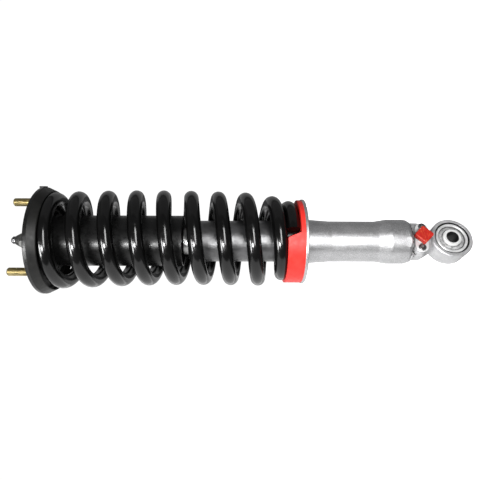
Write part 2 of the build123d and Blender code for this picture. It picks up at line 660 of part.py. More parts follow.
with BuildPart() as piston_rod:
    turn([
        (0, ROD_BOTTOM_Z), (PISTON_SPIGOT_R - 0.6, ROD_BOTTOM_Z), (PISTON_SPIGOT_R, ROD_BOTTOM_Z + 0.6),
        (PISTON_SPIGOT_R, PISTON_TOP_Z + SHIM_STACK), (ROD_R, PISTON_TOP_Z + SHIM_STACK),
        (ROD_R, CLIP_Z), (CLIP_GROOVE_R, CLIP_Z), (CLIP_GROOVE_R, CLIP_Z + CLIP_SHEET),
        (ROD_R, CLIP_Z + CLIP_SHEET), (ROD_R, ROD_SHOULDER_Z), (ROD_THREAD_R, ROD_SHOULDER_Z),
        (ROD_THREAD_R, ROD_TIP_Z - 1.6), (ROD_THREAD_R - 1.6, ROD_TIP_Z), (0, ROD_TIP_Z),
    ])
save(piston_rod, "piston_rod")

PISTON_BODY_R = 17.1
BAND_GROOVE_R = 16.2
BAND_LOW_Z = PISTON_Z + 3.5
BAND_TOP_Z = PISTON_TOP_Z - 3.5
BAND_FIT = 0.05

with BuildPart() as piston:
    turn([
        (PISTON_SPIGOT_R, PISTON_Z), (PISTON_BODY_R, PISTON_Z), (PISTON_BODY_R, BAND_LOW_Z),
        (BAND_GROOVE_R, BAND_LOW_Z), (BAND_GROOVE_R, BAND_TOP_Z), (PISTON_BODY_R, BAND_TOP_Z),
        (PISTON_BODY_R, PISTON_TOP_Z), (PISTON_SPIGOT_R, PISTON_TOP_Z),
    ])
    with BuildSketch(Plane.XY.offset(PISTON_Z)):
        with PolarLocations(10.8, 10):
            Circle(1.5)
    extrude(amount=PISTON_HEIGHT, mode=Mode.SUBTRACT)
save(piston, "piston")

with BuildPart() as piston_band:
    ring(BAND_GROOVE_R, PRESSURE_BORE_R - BAND_FIT, BAND_LOW_Z, BAND_TOP_Z)
save(piston_band, "piston_band")

with BuildPart() as compression_shims:
    ring(PISTON_SPIGOT_R, 10.5, PISTON_Z - SHIM_STACK, PISTON_Z - SHIM_STACK / 2)
    ring(PISTON_SPIGOT_R, 13.5, PISTON_Z - SHIM_STACK / 2, PISTON_Z)
save(compression_shims, "compression_shims")

with BuildPart() as rebound_shims:
    ring(PISTON_SPIGOT_R, 13.5, PISTON_TOP_Z, PISTON_TOP_Z + SHIM_STACK / 2)
    ring(PISTON_SPIGOT_R, 10.5, PISTON_TOP_Z + SHIM_STACK / 2, PISTON_TOP_Z + SHIM_STACK)
save(rebound_shims, "rebound_shims")

with BuildPart() as piston_nut:
    with BuildSketch(Plane.XY.offset(PISTON_Z - SHIM_STACK - 8.5)):
        RegularPolygon(8.5, 6, major_radius=False)
        Circle(PISTON_SPIGOT_R, mode=Mode.SUBTRACT)
    extrude(amount=8.5)
save(piston_nut, "piston_nut")

with BuildPart() as rebound_clip:
    ring(CLIP_GROOVE_R, CLIP_R, CLIP_Z, CLIP_Z + CLIP_SHEET)
save(rebound_clip, "rebound_clip")

REBOUND_TOP_Z = 297.4
with BuildPart() as rebound_stop:
    turn([
        (ROD_R, CLIP_Z + CLIP_SHEET), (13.6, CLIP_Z + CLIP_SHEET), (14.4, 288.0), (14.4, 295.6),
        (12.8, REBOUND_TOP_Z), (ROD_R, REBOUND_TOP_Z),
    ])
save(rebound_stop, "rebound_stop")

# Microcellular bump stop, its cup, and the dust tube that shrouds them
CUP_SHEET = 1.5
CUP_R = 33.0
CUP_SKIRT_Z = 484.0
BUMP_TOP_Z = ROD_SHOULDER_Z
WAVES = 3

with BuildPart() as bump_stop:
    waist = (BUMP_TOP_Z - BUMP_BOTTOM_Z) / WAVES
    outline = [(ROD_R + 0.2, BUMP_BOTTOM_Z), (14.0, BUMP_BOTTOM_Z), (17.0, BUMP_BOTTOM_Z + 3)]
    for wave in range(WAVES):
        base = BUMP_BOTTOM_Z + wave * waist
        belly = 20.0 + 2.0 * wave
        outline.append((belly, base + 0.42 * waist))
        outline.append((belly, base + 0.62 * waist))
        if wave < WAVES - 1:
            outline.append((belly - 4.0, base + waist))
    outline.append((25.0, BUMP_TOP_Z))
    outline.append((ROD_R + 0.2, BUMP_TOP_Z))
    turn(outline)
save(bump_stop, "bump_stop")

with BuildPart() as bump_cup:
    turn([
        (ROD_THREAD_R, ROD_SHOULDER_Z), (DUST_R, ROD_SHOULDER_Z), (DUST_R, CUP_SKIRT_Z),
        (CUP_R, CUP_SKIRT_Z), (CUP_R, ROD_SHOULDER_Z + CUP_SHEET), (ROD_THREAD_R, ROD_SHOULDER_Z + CUP_SHEET),
    ])
save(bump_cup, "bump_cup")

with BuildPart() as dust_tube:
    ring(DUST_BORE_R, DUST_R, DUST_BOTTOM_Z, ROD_SHOULDER_Z)
    mouth = dust_tube.edges().filter_by(GeomType.CIRCLE).group_by(Axis.Z)[0]
    fillet(mouth, 0.6)
save(dust_tube, "dust_tube")

# Clamped stack at the rod's top: washer, inner sleeve, washer, nut
CLAMP_Z = ROD_SHOULDER_Z + CUP_SHEET
WASHER_LOW_R = 22.0
WASHER_SHEET = 3.0
WASHER_TOP_R = 16.0
CORE_R = 9.0
NUT_CONE = 8.0

with BuildPart() as washer_low:
    ring(ROD_THREAD_R, WASHER_LOW_R, CLAMP_Z, CLAMP_Z + WASHER_SHEET)
save(washer_low, "rod_washer_lower")

with BuildPart() as mount_core:
    ring(ROD_THREAD_R, CORE_R, CLAMP_Z + WASHER_SHEET, NUT_BOTTOM_Z - WASHER_SHEET)
save(mount_core, "mount_core_sleeve")

with BuildPart() as washer_top:
    ring(ROD_THREAD_R, WASHER_TOP_R, NUT_BOTTOM_Z - WASHER_SHEET, NUT_BOTTOM_Z)
    fillet(washer_top.edges().filter_by(GeomType.CIRCLE).filter_by(
        lambda e: abs(e.radius - WASHER_TOP_R) < 0.01), 0.8)
save(washer_top, "rod_washer_upper")

with BuildPart() as top_nut:
    with BuildSketch(Plane.XY.offset(NUT_BOTTOM_Z)):
        RegularPolygon(NUT_FLATS / 2, 6, major_radius=False)
    extrude(amount=NUT_TOP_Z - NUT_BOTTOM_Z)
    nut_corner = NUT_FLATS / math.sqrt(3)
    turn([
        (nut_corner + 1, NUT_TOP_Z + 1), (nut_corner + 1, NUT_TOP_Z - NUT_CONE),
        (nut_corner, NUT_TOP_Z - NUT_CONE), (ROD_THREAD_R + 1.0, NUT_TOP_Z), (ROD_THREAD_R + 1.0, NUT_TOP_Z + 1),
    ], Mode.SUBTRACT)
    ring(0, ROD_THREAD_R, NUT_BOTTOM_Z - 1, NUT_TOP_Z + 1, Mode.SUBTRACT)
save(top_nut, "top_nut")

# ---------------------------------------------------------------------------
# Top mount: rubber spring isolator, plate with dome, studs and bonded rubber
# ---------------------------------------------------------------------------
PLATE_UNDER_Z = PLATE_TOP_Z - PLATE_SHEET
RIM_LIP = 2.2
WIRE_POCKET_R = 60.5
WIRE_POCKET_IN_R = 41.0
POCKET_TOP_Z = 497.4
BAND_BORE_R = 36.5
BAND_LIP_R = 61.1
STUD_COLLAR_R = 5.7
TAB_WIDTH = 8.0
TAB_TOP_Z = 506.0
TAB_SHEET = 2.6
OPENING_R = 20.0
DOME_SHEET = 3.0

with BuildPart() as band:
    turn([
        (WIRE_POCKET_R, BAND_BOTTOM_Z), (BAND_LIP_R, BAND_BOTTOM_Z), (BAND_LIP_R + 0.8, BAND_BOTTOM_Z + 0.7),
        (PLATE_R - 0.2, RIM_BOTTOM_Z - 0.4), (PLATE_R - 0.2, RIM_BOTTOM_Z), (PLATE_R - RIM_LIP, RIM_BOTTOM_Z), (PLATE_R - RIM_LIP, PLATE_UNDER_Z),
        (BAND_BORE_R, PLATE_UNDER_Z), (BAND_BORE_R, 490.0), (WIRE_POCKET_IN_R - 1.5, 490.0),
        (WIRE_POCKET_IN_R, POCKET_TOP_Z), (WIRE_POCKET_R - 1.5, POCKET_TOP_Z),
        (WIRE_POCKET_R, POCKET_TOP_Z - 1.5),
    ])
save(band, "upper_isolator")

with BuildPart() as top_plate:
    turn([
        (PLATE_R - RIM_LIP, RIM_BOTTOM_Z), (PLATE_R, RIM_BOTTOM_Z), (PLATE_R, PLATE_TOP_Z - 0.8),
        (PLATE_R - 0.8, PLATE_TOP_Z), (DOME_R, PLATE_TOP_Z), (32.5, 504.0), (31.0, 512.6),
        (28.0, DOME_TOP_Z), (OPENING_R, DOME_TOP_Z), (OPENING_R, DOME_TOP_Z - DOME_SHEET),
        (26.9, DOME_TOP_Z - DOME_SHEET), (28.1, 511.4), (29.6, 502.8), (31.4, PLATE_UNDER_Z),
        (PLATE_R - RIM_LIP, PLATE_UNDER_Z),
    ])
    with BuildSketch(Plane.XY.offset(PLATE_UNDER_Z)):
        for angle in STUD_ANGLES:
            with PolarLocations(STUD_PCD / 2, 1, start_angle=angle):
                Circle(STUD_COLLAR_R)
    extrude(amount=PLATE_SHEET, mode=Mode.SUBTRACT)
    with BuildSketch(Plane.XY.offset(PLATE_UNDER_Z)):
        with PolarLocations(PLATE_R, 1, start_angle=TAB_DEG):
            Rectangle(TAB_SHEET, TAB_WIDTH)
    extrude(amount=TAB_TOP_Z - PLATE_UNDER_Z)
save(top_plate, "top_plate")

with BuildPart() as studs:
    for angle in STUD_ANGLES:
        with BuildSketch(Plane.XY.offset(PLATE_UNDER_Z)):
            with PolarLocations(STUD_PCD / 2, 1, start_angle=angle):
                Circle(STUD_COLLAR_R)
        extrude(amount=PLATE_SHEET)
        with BuildSketch(Plane.XY.offset(PLATE_TOP_Z)):
            with PolarLocations(STUD_PCD / 2, 1, start_angle=angle):
                Circle(STUD_R)
        extrude(amount=STUD_TIP_Z - PLATE_TOP_Z)
    chamfer(studs.faces().filter_by(lambda f: abs(f.center().Z - STUD_TIP_Z) < 0.01).edges(), 1.2)
save(studs, "mount_studs")

with BuildPart() as mount_rubber:
    turn([
        (CORE_R, 500.0), (14.0, 500.0), (27.0, 501.6), (29.2, 503.4), (28.1, 511.4),
        (26.9, DOME_TOP_Z - DOME_SHEET), (OPENING_R, DOME_TOP_Z - DOME_SHEET), (OPENING_R, 516.4),
        (18.5, 518.4), (14.0, 519.6), (CORE_R, 519.6),
    ])
save(mount_rubber, "mount_rubber")
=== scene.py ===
import json
import math

import bpy
from mathutils import Matrix, Vector


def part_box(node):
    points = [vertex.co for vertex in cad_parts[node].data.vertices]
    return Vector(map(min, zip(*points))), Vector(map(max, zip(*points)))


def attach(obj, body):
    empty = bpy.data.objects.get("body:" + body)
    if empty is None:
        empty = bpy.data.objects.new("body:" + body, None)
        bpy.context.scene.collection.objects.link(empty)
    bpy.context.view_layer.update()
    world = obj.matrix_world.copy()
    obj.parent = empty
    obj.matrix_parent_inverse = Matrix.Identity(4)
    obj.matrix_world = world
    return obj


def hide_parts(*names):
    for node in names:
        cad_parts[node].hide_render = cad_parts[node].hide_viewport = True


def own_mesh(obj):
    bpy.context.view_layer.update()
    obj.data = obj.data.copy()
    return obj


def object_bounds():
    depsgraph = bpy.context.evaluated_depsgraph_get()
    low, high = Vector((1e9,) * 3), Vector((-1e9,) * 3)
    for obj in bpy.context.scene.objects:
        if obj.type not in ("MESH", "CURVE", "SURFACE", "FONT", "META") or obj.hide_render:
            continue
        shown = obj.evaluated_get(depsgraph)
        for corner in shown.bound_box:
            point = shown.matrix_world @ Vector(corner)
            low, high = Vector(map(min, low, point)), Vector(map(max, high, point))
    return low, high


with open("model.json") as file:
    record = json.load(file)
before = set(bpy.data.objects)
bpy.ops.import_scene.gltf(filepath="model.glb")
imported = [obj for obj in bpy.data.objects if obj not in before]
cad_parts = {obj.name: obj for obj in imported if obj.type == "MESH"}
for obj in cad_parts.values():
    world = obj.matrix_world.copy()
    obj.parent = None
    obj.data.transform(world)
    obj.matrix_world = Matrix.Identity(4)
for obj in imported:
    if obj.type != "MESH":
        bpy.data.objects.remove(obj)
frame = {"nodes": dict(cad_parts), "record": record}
cad_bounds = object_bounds()

# ---------------------------------------------------------------------------
# Viewpoint, in the record's frame (metres)
# ---------------------------------------------------------------------------
VIEW_TURN = math.radians(25.8)      # the eye bore is turned this far from the line of sight
CAMERA_HEIGHT = 0.272               # where on the strut's axis the camera is square to it
CAMERA_DISTANCE = 0.556
FOCAL_SHARE = 0.92708               # focal length as a share of the image width
ROLL = math.radians(0.226)
SHIFT = (0.020833, 0.002292)        # how far the axis runs off the middle of the image
SENSOR = 36.0

VIEW_RIGHT = Vector((0, 0, -1))
VIEW_UP = Vector((math.cos(VIEW_TURN), -math.sin(VIEW_TURN), 0))
VIEW_BACK = Vector((-math.sin(VIEW_TURN), -math.cos(VIEW_TURN), 0))


# ---------------------------------------------------------------------------
# Node graph shorthand
# ---------------------------------------------------------------------------
class Graph:
    """One procedural material: a Principled shader and the textures that feed it."""

    def __init__(self, name):
        self.material = bpy.data.materials.new(name)
        self.material.use_nodes = True
        self.tree = self.material.node_tree
        self.tree.nodes.clear()
        self.output = self.tree.nodes.new("ShaderNodeOutputMaterial")
        self.shader = self.tree.nodes.new("ShaderNodeBsdfPrincipled")
        self.tree.links.new(self.shader.outputs[0], self.output.inputs[0])
        self.place = self.tree.nodes.new("ShaderNodeTexCoord").outputs["Object"]
        self.normal = None

    def set(self, **values):
        """Set shader sockets by name, with spaces written as underscores."""
        for name, value in values.items():
            self.shader.inputs[name.replace("_", " ")].default_value = value
        return self

    def feed(self, socket, source):
        self.tree.links.new(source, self.shader.inputs[socket])

    def scaled(self, stretch):
        mapping = self.tree.nodes.new("ShaderNodeMapping")
        mapping.inputs["Scale"].default_value = stretch
        self.tree.links.new(self.place, mapping.inputs["Vector"])
        return mapping.outputs[0]

    def noise(self, scale, detail=3.0, rough=0.55, stretch=(1, 1, 1), warp=0.0):
        node = self.tree.nodes.new("ShaderNodeTexNoise")
        node.inputs["Scale"].default_value = scale
        node.inputs["Detail"].default_value = detail
        node.inputs["Roughness"].default_value = rough
        node.inputs["Distortion"].default_value = warp
        self.tree.links.new(self.scaled(stretch), node.inputs["Vector"])
        return node.outputs[0]

    def levels(self, source, low, high, start=0.3, end=0.7):
        """Map start..end of a value to low..high, and hold it outside."""
        node = self.tree.nodes.new("ShaderNodeMapRange")
        node.inputs["From Min"].default_value = start
        node.inputs["From Max"].default_value = end
        node.inputs["To Min"].default_value = low
        node.inputs["To Max"].default_value = high
        self.tree.links.new(source, node.inputs["Value"])
        return node.outputs[0]

    def math(self, kind, a, b):
        node = self.tree.nodes.new("ShaderNodeMath")
        node.operation = kind
        for socket, value in zip(node.inputs, (a, b)):
            if isinstance(value, (int, float)):
                socket.default_value = value
            else:
                self.tree.links.new(value, socket)
        return node.outputs[0]

    def mix(self, share, a, b):
        """Blend two colours, or colour outputs, by a share."""
        node = self.tree.nodes.new("ShaderNodeMix")
        node.data_type = "RGBA"
        self.tree.links.new(share, node.inputs["Factor"])
        for socket, value in ((node.inputs[6], a), (node.inputs[7], b)):
            if isinstance(value, tuple):
                socket.default_value = (*value, 1.0)
            else:
                self.tree.links.new(value, socket)
        return node.outputs[2]

    def from_bore(self):
        """Distance from the lower eye's bore axis."""
        node = self.tree.nodes.new("ShaderNodeVectorMath")
        node.operation = "LENGTH"
        self.tree.links.new(self.scaled((1, 0, 1)), node.inputs[0])
        return node.outputs["Value"]

    def along(self, axis):
        """Position along one axis of the frame."""
        node = self.tree.nodes.new("ShaderNodeSeparateXYZ")
        self.tree.links.new(self.place, node.inputs[0])
        return node.outputs[axis]

    def bump(self, source, strength, distance):
        node = self.tree.nodes.new("ShaderNodeBump")
        node.inputs["Strength"].default_value = strength
        node.inputs["Distance"].default_value = distance
        self.tree.links.new(source, node.inputs["Height"])
        if self.normal is not None:
            self.tree.links.new(self.normal, node.inputs["Normal"])
        self.normal = node.outputs[0]
        self.tree.links.new(self.normal, self.shader.inputs["Normal"])
        return self


# ---------------------------------------------------------------------------
# Materials
# ---------------------------------------------------------------------------
# Radii about the eye's bore and heights up the strut where painted shade begins
BOLT_HOLE_R = 0.0073
SLEEVE_OUT_R = 0.0110
LIP_IN_R = 0.0163
LIP_OUT_R = 0.0192
EYE_BORE_R = 0.0206
TUBE_SEAM_Z = 0.0515
SEAM_SHADE_WIDTH = 0.003
SEAM_SHADE_Y = (-0.008, 0.004)
SEAT_TOP_Z = 0.1852
SHADE_FADE = 0.012


def silver_paint(name, shade_above_z=None):
    """Aluminium-flake paint with fine sparkle and soft clouding; above a given height the colour is
    darkened as painted shade of the spring's coils.
    """
    g = Graph(name).set(Metallic=0.85, Coat_Weight=0.25, Coat_Roughness=0.18)
    clouds = g.levels(g.noise(38.0, 4.0), 0.0, 1.0)
    flake = g.noise(1000.0, 2.0, 0.7)
    base = g.mix(clouds, (0.30, 0.30, 0.305), (0.45, 0.45, 0.455))
    paint = g.mix(g.levels(flake, 0.0, 0.7, 0.42, 0.66), base, (0.70, 0.70, 0.71))
    if shade_above_z is not None:
        # Painted shade: the tube is darkened above the spring seat, where the coils shade it.
        coil_shade = g.levels(g.along("Z"), 0.0, 1.0, shade_above_z, shade_above_z + SHADE_FADE)
        paint = g.mix(coil_shade, paint, g.mix(clouds, (0.10, 0.10, 0.10), (0.24, 0.24, 0.245)))
    g.feed("Base Color", paint)
    g.feed("Roughness", g.levels(g.noise(300.0, 4.0), 0.30, 0.46))
    g.bump(flake, 0.30, 0.0004)
    g.bump(g.noise(240.0, 2.0), 0.02, 0.0005)
    return g.material


def cast_silver(name):
    """Silver paint on a sand-cast skin, with patchy painted shade at the front of the tube's seam and
    painted shade inside the eye's bore.
    """
    g = Graph(name).set(Metallic=0.6, Coat_Weight=0.15, Coat_Roughness=0.25)
    skin = g.noise(520.0, 5.0, 0.62)
    clouds = g.levels(g.noise(60.0, 3.0), 0.0, 1.0)
    base = g.mix(clouds, (0.32, 0.32, 0.325), (0.50, 0.50, 0.505))
    paint = g.mix(g.levels(skin, 0.0, 0.5), base, (0.68, 0.68, 0.69))

    # Painted shade: a patchy dark band at the tube's seam, on the front side only, where the gap under the
    # adjuster is in shadow.
    from_seam = g.math("ABSOLUTE", g.math("SUBTRACT", g.along("Z"), TUBE_SEAM_Z), 0)
    seam = g.levels(from_seam, 1.0, 0.0, SEAM_SHADE_WIDTH, 2 * SEAM_SHADE_WIDTH)
    front = g.levels(g.along("Y"), 1.0, 0.0, *SEAM_SHADE_Y)
    spots = g.levels(g.noise(300.0, 3.0, 0.6), 0.0, 1.0, 0.46, 0.54)
    seam_shade = g.math("MULTIPLY", g.math("MULTIPLY", seam, spots), front)
    paint = g.mix(seam_shade, paint, (0.020, 0.020, 0.020))

    # Painted shade: the eye's bore wall, seen through the groove round the bush, is darkened.
    bore_shade = g.levels(g.from_bore(), 1.0, 0.0, EYE_BORE_R + 0.0002, EYE_BORE_R + 0.0005)
    g.feed("Base Color", g.mix(bore_shade, paint, (0.010, 0.010, 0.010)))
    g.feed("Roughness", g.levels(skin, 0.34, 0.52))
    g.bump(skin, 0.35, 0.0008)
    return g.material


def bright_steel(name, tint=(0.62, 0.62, 0.61), stretch=(1, 1, 8), shine=0.28, metal=1.0):
    """Machined or plated metal with fine tool marks."""
    g = Graph(name).set(Metallic=metal)
    marks = g.noise(700.0, 3.0, 0.6, stretch)
    clouds = g.noise(90.0, 3.0)
    darker = tuple(0.72 * c for c in tint)
    g.feed("Base Color", g.mix(g.levels(clouds, 0.0, 1.0), darker, tint))
    g.feed("Roughness", g.levels(marks, shine - 0.06, shine + 0.12))
    g.bump(marks, 0.12, 0.0003)
    return g.material


def gloss_black(name):
    """Baked black powder coat: deep gloss with a slight orange peel and a few dull scuffs."""
    g = Graph(name).set(Specular_IOR_Level=0.5)
    tone = g.levels(g.noise(30.0, 3.0), 0.0, 1.0)
    scuff = g.noise(180.0, 6.0, 0.7, (1, 1, 0.35), 0.6)
    g.feed("Base Color", g.mix(tone, (0.001, 0.001, 0.001), (0.003, 0.003, 0.003)))
    g.feed("Roughness", g.levels(scuff, 0.15, 0.31, 0.5, 0.8))
    g.bump(g.noise(420.0, 2.0), 0.03, 0.0006)
    return g.material


def satin_black(name, grain=0.12, gloss=0.5):
    """Black paint on a stamped or drawn sheet."""
    g = Graph(name).set(Specular_IOR_Level=gloss)
    tone = g.levels(g.noise(50.0, 4.0), 0.0, 1.0)
    g.feed("Base Color", g.mix(tone, (0.002, 0.002, 0.002), (0.007, 0.007, 0.007)))
    g.feed("Roughness", g.levels(g.noise(240.0, 4.0), 0.24, 0.40))
    g.bump(g.noise(500.0, 3.0), grain, 0.0005)
    return g.material


def rubber(name, dark, light, rough, grain, gloss=0.5):
    """Moulded rubber: matte, faintly mottled, with a fine pebbled skin."""
    g = Graph(name).set(Specular_IOR_Level=gloss)
    tone = g.noise(70.0, 4.0)
    g.feed("Base Color", g.mix(g.levels(tone, 0.0, 1.0), dark, light))
    g.feed("Roughness", g.levels(g.noise(260.0, 4.0), rough[0], rough[1]))
    g.bump(g.noise(900.0, 3.0, 0.6), grain, 0.0004)
    return g.material


def yellow_zinc(name):
    """Yellow chromate over zinc: gold drifting to olive, dull in the threads."""
    g = Graph(name).set(Metallic=1.0)
    drift = g.noise(120.0, 4.0, 0.6)
    base = g.mix(g.levels(drift, 0.0, 1.0), (0.30, 0.24, 0.10), (0.58, 0.49, 0.26))
    g.feed("Base Color", g.mix(g.levels(g.noise(420.0, 3.0), 0.0, 0.35), base, (0.46, 0.42, 0.27)))
    g.feed("Roughness", g.levels(g.noise(600.0, 3.0), 0.30, 0.46))
    g.bump(g.noise(1200.0, 2.0), 0.05, 0.0002)
    return g.material


def sleeve_steel(name):
    """Plated sleeve with painted shade darkening its bore."""
    g = Graph(name).set(Metallic=0.4)
    clouds = g.noise(120.0, 3.0)
    metal = g.mix(g.levels(clouds, 0.0, 1.0), (0.68, 0.68, 0.68), (0.86, 0.86, 0.85))
    # Painted shade: the bolt hole is darkened inside.
    bore = g.levels(g.from_bore(), 1.0, 0.0, BOLT_HOLE_R, BOLT_HOLE_R + 0.0004)
    g.feed("Base Color", g.mix(bore, metal, (0.006, 0.006, 0.006)))
    g.feed("Roughness", g.levels(g.noise(500.0, 3.0), 0.28, 0.42))
    g.bump(g.noise(800.0, 3.0), 0.12, 0.0003)
    return g.material


def lip_steel(name):
    """Bush shell: bright rolled lip, with black painted shade below it in the groove."""
    g = Graph(name).set(Metallic=0.5)
    clouds = g.noise(160.0, 3.0)
    metal = g.mix(g.levels(clouds, 0.0, 1.0), (0.56, 0.56, 0.56), (0.82, 0.82, 0.82))
    # Painted shade: the shell beyond its lip is darkened where the groove is in shadow.
    seam = g.levels(g.from_bore(), 0.0, 1.0, LIP_OUT_R, LIP_OUT_R + 0.0003)
    g.feed("Base Color", g.mix(seam, metal, (0.006, 0.006, 0.006)))
    g.feed("Roughness", g.levels(g.noise(420.0, 3.0), 0.30, 0.46))
    g.bump(g.noise(700.0, 3.0), 0.2, 0.0004)
    return g.material


def bush_rubber(name):
    """Over-sprayed bush rubber: mottled silver overspray, with painted shade darkening the inner and outer
    corners of its recess.
    """
    g = Graph(name)
    spray = g.noise(420.0, 5.0, 0.7)
    patches = g.noise(90.0, 3.0)
    coat = g.mix(g.levels(spray, 0.0, 1.0, 0.38, 0.62), (0.10, 0.10, 0.10), (0.52, 0.52, 0.52))
    coat = g.mix(g.levels(patches, 0.0, 0.5), coat, (0.24, 0.24, 0.24))
    # Painted shade: the rubber is darkened beside the inner sleeve and under the shell's lip.
    reach = g.from_bore()
    inner = g.levels(reach, 1.0, 0.0, SLEEVE_OUT_R + 0.0003, SLEEVE_OUT_R + 0.0013)
    outer = g.levels(reach, 0.0, 1.0, LIP_IN_R - 0.0016, LIP_IN_R - 0.0004)
    g.feed("Base Color", g.mix(g.math("MAXIMUM", inner, outer), coat, (0.015, 0.015, 0.015)))
    g.feed("Roughness", g.levels(spray, 0.42, 0.66))
    g.bump(spray, 0.5, 0.0006)
    return g.material


def scuffed_red(name):
    """Red plastic knob with paler, orange handling scuffs."""
    g = Graph(name).set(Specular_IOR_Level=0.4)
    tone = g.mix(g.levels(g.noise(70.0, 4.0), 0.0, 1.0), (0.32, 0.008, 0.006), (0.47, 0.018, 0.012))
    scuffs = g.levels(g.noise(330.0, 4.0, 0.65, (1, 1, 2.5)), 0.0, 0.8, 0.54, 0.68)
    g.feed("Base Color", g.mix(scuffs, tone, (0.54, 0.12, 0.04)))
    g.feed("Roughness", g.levels(g.noise(260.0, 4.0), 0.30, 0.48))
    g.bump(g.noise(600.0, 3.0), 0.2, 0.0004)
    return g.material


MATERIALS = {
    "silver_paint": silver_paint("silver_paint"),
    "cast_silver": cast_silver("cast_silver"),
    "zinc_alloy": bright_steel("zinc_alloy", (0.80, 0.80, 0.80), (1, 1, 1), 0.34, 0.35),
    "bright_steel": bright_steel("bright_steel"),
    "chromed_rod": bright_steel("chromed_rod", (0.80, 0.80, 0.82), (1, 1, 12), 0.14),
    "sintered_steel": bright_steel("sintered_steel", (0.40, 0.39, 0.38), (1, 1, 1), 0.45),
    "bronze": bright_steel("bronze", (0.55, 0.38, 0.18)),
    "gloss_black": gloss_black("gloss_black"),
    "black_paint": satin_black("black_paint"),
    "black_rubber": rubber("black_rubber", (0.003, 0.003, 0.003), (0.010, 0.010, 0.009),
                           rough=(0.36, 0.52), grain=0.2, gloss=0.30),
    "coated_rubber": rubber("coated_rubber", (0.22, 0.22, 0.22), (0.46, 0.46, 0.46),
                            rough=(0.42, 0.62), grain=0.5),
    "red_rubber": rubber("red_rubber", (0.56, 0.012, 0.008), (0.70, 0.028, 0.020),
                         rough=(0.36, 0.52), grain=0.12, gloss=0.4),
    "red_plastic": rubber("red_plastic", (0.34, 0.008, 0.006), (0.50, 0.020, 0.014),
                          rough=(0.28, 0.42), grain=0.15),
    "black_plastic": rubber("black_plastic", (0.020, 0.020, 0.020), (0.035, 0.035, 0.035),
                            rough=(0.35, 0.50), grain=0.1),
    "foam_yellow": rubber("foam_yellow", (0.42, 0.30, 0.10), (0.60, 0.46, 0.20),
                          rough=(0.70, 0.90), grain=0.5),
    "yellow_zinc": yellow_zinc("yellow_zinc"),
}

# Nodes whose finish differs from the rest of their slot
LOOKS = {
    # The reserve tube's look darkens it above the seat as painted shade.
    "reserve_tube": silver_paint("tube_silver", shade_above_z=SEAT_TOP_Z),
    "dust_tube": satin_black("dust_tube_black", 0.03, 0.4),
    "adjuster_knob": scuffed_red("knob_red"),
    "adjuster_screws": bright_steel("screw_steel", (0.26, 0.26, 0.26), (1, 1, 1), 0.34),
    "top_nut": bright_steel("dull_zinc", (0.34, 0.34, 0.33), (1, 1, 1), 0.30),
    "piston_rod": bright_steel("rod_steel", (0.46, 0.46, 0.47), (1, 1, 12), 0.20),
    "eye_inner_sleeve": sleeve_steel("sleeve_steel"),
    "eye_outer_sleeve": lip_steel("lip_steel"),
    "eye_rubber": bush_rubber("bush_rubber"),
}

slots = {part["node"]: part["material_slot"] for part in frame["record"]["subparts"]}
for node, obj in frame["nodes"].items():
    obj.data.materials.clear()
    obj.data.materials.append(LOOKS.get(node) or MATERIALS[slots[node]])

# ---------------------------------------------------------------------------
# Coil spring: the wire's centre line, swept to a round wire
# ---------------------------------------------------------------------------
WIRE_R = 0.00875
PIGTAIL_R = 0.0403
COIL_LOW_R = 0.0488
COIL_TOP_R = 0.05125
PIGTAIL_OPENS = (0.45, 1.7)
COIL_OPENS = (1.7, 7.8)
SPRING_TURNS = 9.35
WIRE_START = math.radians(-98.0)
WIRE_START_Z = 0.1985
PITCH_STATIONS = ((0.0, 0.0068), (1.4, 0.03355), (6.4, 0.03355), (7.0, 0.0362), (8.65, 0.0362),
                  (9.35, 0.002))
FOOT_LEAN = 0.0012
BOW = 0.0033
POINTS_PER_TURN = 48
WIRE_SIDES = 32


def share_between(value, span):
    """How far a value has run through a span, held to 0..1."""
    return min(max((value - span[0]) / (span[1] - span[0]), 0), 1)


def spring_rise(turns):
    """Height gained by the wire's centre, with the pitch running straight between its stations."""
    rise = 0
    for (turn_a, pitch_a), (turn_b, pitch_b) in zip(PITCH_STATIONS, PITCH_STATIONS[1:]):
        run = min(max(turns - turn_a, 0), turn_b - turn_a)
        rise += pitch_a * run + (pitch_b - pitch_a) * run * run / (2 * (turn_b - turn_a))
    return rise


def spring_point(turns):
    """One point of the wire's centre line."""
    part = share_between(turns, PIGTAIL_OPENS)
    opened = (COIL_LOW_R - PIGTAIL_R) * part * part * (3 - 2 * part)
    radius = PIGTAIL_R + opened + (COIL_TOP_R - COIL_LOW_R) * share_between(turns, COIL_OPENS)
    angle = WIRE_START + 2 * math.pi * turns
    share = spring_rise(turns) / spring_rise(SPRING_TURNS)
    lean = FOOT_LEAN * (1 - share) + BOW * math.sin(math.pi * share)
    flat = Vector((radius * math.cos(angle), radius * math.sin(angle), 0)) + lean * VIEW_UP
    return Vector((flat.x, flat.y, WIRE_START_Z + spring_rise(turns)))


